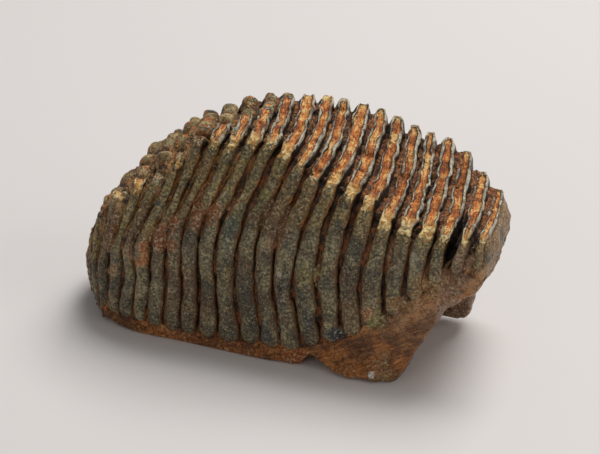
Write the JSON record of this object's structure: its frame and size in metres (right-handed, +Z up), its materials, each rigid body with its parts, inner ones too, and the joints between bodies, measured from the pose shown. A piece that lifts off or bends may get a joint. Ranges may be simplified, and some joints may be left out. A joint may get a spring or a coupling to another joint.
{
  "type": "fossil mammoth molar",
  "caption": "Fossil mammoth cheek tooth with upright ribbed plates, a worn grinding face, a brown root band and broken roots, lying on its root side",
  "frame": {"origin": "centre of the bounding box in plan, on the surface that the tooth lies on", "axes": "+X from the rounded rear end to the front of the tooth, +Y across the tooth away from its more exposed rib side, +Z up"},
  "size_m": [0.254, 0.0982, 0.1371],
  "materials": {
    "fossil_tooth": "mineralised tooth: dull grey-green ribs, rust-orange dentine between pale enamel ridges, dark brown cement and rust-brown root"
  },
  "bodies": {
    "root": {"mammoth_molar": "fossil_tooth"}
  },
  "joints": []
}
